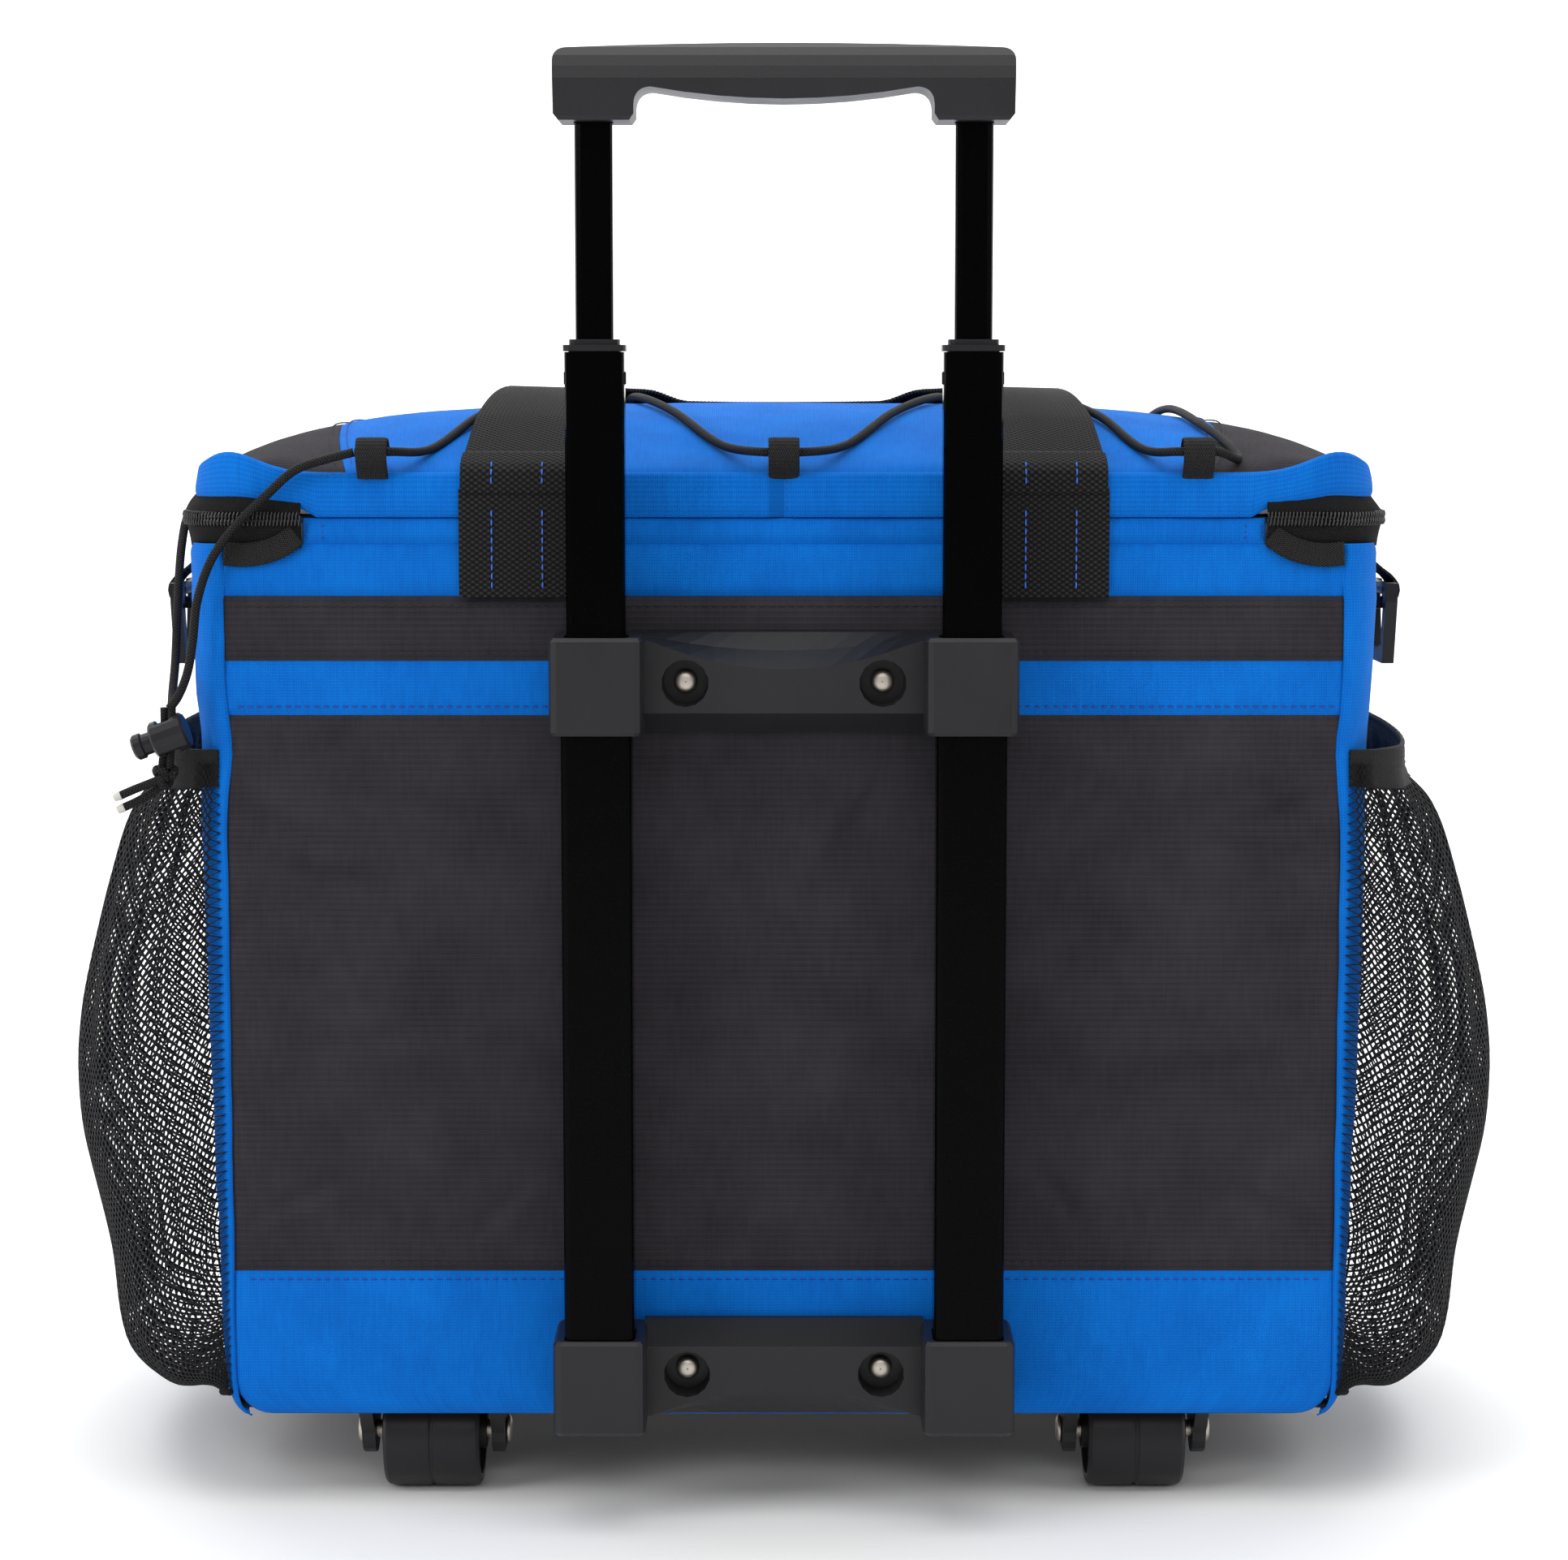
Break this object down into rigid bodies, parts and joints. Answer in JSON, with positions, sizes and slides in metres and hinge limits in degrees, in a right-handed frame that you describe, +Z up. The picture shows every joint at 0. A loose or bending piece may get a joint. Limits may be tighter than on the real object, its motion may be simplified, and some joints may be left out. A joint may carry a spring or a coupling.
{
  "type": "cooler on wheels",
  "caption": "Soft-sided insulated cooler bag on wheels with a telescoping two-tube trolley handle, domed zip lid, bungee lacing, netting side pockets and webbing carry handles.",
  "frame": {"origin": "centre of the footprint, on the surface that the wheels and the front stand rest on", "axes": "+X to the right seen from the trolley handle's side, +Y from the trolley handle to the front of the bag, +Z up; the trolley handle is at -Y"},
  "size_m": [0.5202, 0.2914, 0.4959],
  "materials": {
    "blue_fabric": "matt woven royal blue polyester",
    "black_fabric": "matt woven black polyester",
    "netting": "matt black knitted netting",
    "webbing": "matt black ribbed webbing",
    "bungee": "satin braided black cord",
    "foam": "matt closed-cell foam",
    "liner": "satin grey film liner",
    "board": "matt black moulded sheet",
    "tube": "gloss black powder coat",
    "plastic": "matt charcoal moulded plastic",
    "rivet": "satin plated steel",
    "zip_metal": "black-coated cast zip hardware",
    "zip_tape": "matt black tape and coil",
    "wheel": "matt black moulded tyre"
  },
  "bodies": {
    "bag": {"back_panel": "black_fabric", "front_panel": "black_fabric", "side_panel_left": "blue_fabric", "side_panel_right": "blue_fabric", "base_panel": "black_fabric", "insulation_tub": "foam", "liner_tub": "liner", "back_board": "board", "base_board": "board", "zip_tape": "zip_tape", "upper_bracket": "plastic", "lower_bracket": "plastic", "rivet_upper_left": "rivet", "rivet_upper_right": "rivet", "rivet_lower_left": "rivet", "rivet_lower_right": "rivet", "outer_tube_left": "tube", "outer_tube_right": "tube", "wheel_fork_left": "plastic", "wheel_fork_right": "plastic", "axle_left": "rivet", "axle_right": "rivet", "front_stand": "plastic", "mesh_pocket_left": "netting", "mesh_pocket_right": "netting", "ring_tab_left": "webbing", "ring_tab_right": "webbing", "strap_leg_left": "webbing", "strap_leg_right": "webbing", "bungee_drop": "bungee", "cord_lock_barrel": "plastic", "bungee_knot": "bungee"},
    "middle_stage": {"middle_tube_left": "tube", "middle_tube_right": "tube", "tube_cap_left": "plastic", "tube_cap_right": "plastic", "slide_bush_left": "plastic", "slide_bush_right": "plastic"},
    "inner_stage": {"inner_tube_left": "tube", "inner_tube_right": "tube", "handle_grip": "plastic"},
    "wheel_left": {"wheel_left": "wheel"},
    "wheel_right": {"wheel_right": "wheel"},
    "lid": {"lid_cover": "blue_fabric", "lid_foam": "foam", "lid_liner": "liner", "lid_loop_left": "webbing", "lid_loop_centre": "webbing", "lid_loop_right": "webbing", "lid_loop_strip": "webbing", "bungee_lacing": "bungee"},
    "rear_handle": {"handle_back": "webbing"},
    "front_handle": {"handle_front": "webbing"},
    "side_ring_left": {"side_ring_left": "plastic"},
    "side_ring_right": {"side_ring_right": "plastic"},
    "cord_lock_button": {"cord_lock_button": "plastic"},
    "zip_slider_left": {"zip_slider_left": "zip_metal"},
    "zip_slider_right": {"zip_slider_right": "zip_metal"},
    "zip_pull_left": {"zip_pull_left": "zip_metal"},
    "zip_pull_right": {"zip_pull_right": "zip_metal"}
  },
  "joints": [
    {"name": "middle_stage_slide", "type": "slide", "parent": "bag", "child": "middle_stage", "axis": [0, 0, 1], "range_m": [-0.092, 0.115]},
    {"name": "inner_stage_slide", "type": "slide", "parent": "middle_stage", "child": "inner_stage", "axis": [0, 0, 1], "range_m": [-0.069, 0.135]},
    {"name": "wheel_left_spin", "type": "hinge", "parent": "bag", "child": "wheel_left", "pos_m": [-0.123, -0.082, 0.0197], "axis": [1, 0, 0], "continuous": true},
    {"name": "wheel_right_spin", "type": "hinge", "parent": "bag", "child": "wheel_right", "pos_m": [0.123, -0.082, 0.0197], "axis": [1, 0, 0], "continuous": true},
    {"name": "lid_hinge", "type": "hinge", "parent": "bag", "child": "lid", "pos_m": [0, -0.1148, 0.3495], "axis": [1, 0, 0], "range_deg": [0, 70], "deforming": ["bungee_lacing", "bungee_drop"]},
    {"name": "rear_handle_lift", "type": "hinge", "parent": "lid", "child": "rear_handle", "pos_m": [0, -0.1138, 0.3508], "axis": [-1, 0, 0], "range_deg": [-68, 0]},
    {"name": "front_handle_lift", "type": "hinge", "parent": "bag", "child": "front_handle", "pos_m": [0, 0.1396, 0.3105], "axis": [1, 0, 0], "range_deg": [0, 165]},
    {"name": "side_ring_left_swing", "type": "hinge", "parent": "bag", "child": "side_ring_left", "pos_m": [-0.2126, -0.042, 0.3145], "axis": [0, 1, 0], "range_deg": [0, 120]},
    {"name": "side_ring_right_swing", "type": "hinge", "parent": "bag", "child": "side_ring_right", "pos_m": [0.2126, -0.042, 0.3145], "axis": [0, -1, 0], "range_deg": [0, 120]},
    {"name": "cord_lock_press", "type": "slide", "parent": "bag", "child": "cord_lock_button", "axis": [0.9397, 0, 0.342], "range_m": [0, 0.003], "stiffness_N_per_m": 180, "springref_m": -0.002},
    {"name": "zip_slider_left_run", "type": "slide", "parent": "bag", "child": "zip_slider_left", "axis": [-1, 0, 0], "range_m": [0, 0.15]},
    {"name": "zip_slider_right_run", "type": "slide", "parent": "bag", "child": "zip_slider_right", "axis": [1, 0, 0], "range_m": [0, 0.15]},
    {"name": "zip_pull_left_flip", "type": "hinge", "parent": "zip_slider_left", "child": "zip_pull_left", "pos_m": [-0.009, 0.1435, 0.3391], "axis": [1, 0, 0], "range_deg": [0, 80]},
    {"name": "zip_pull_right_flip", "type": "hinge", "parent": "zip_slider_right", "child": "zip_pull_right", "pos_m": [0.009, 0.1435, 0.3391], "axis": [1, 0, 0], "range_deg": [0, 80]}
  ]
}
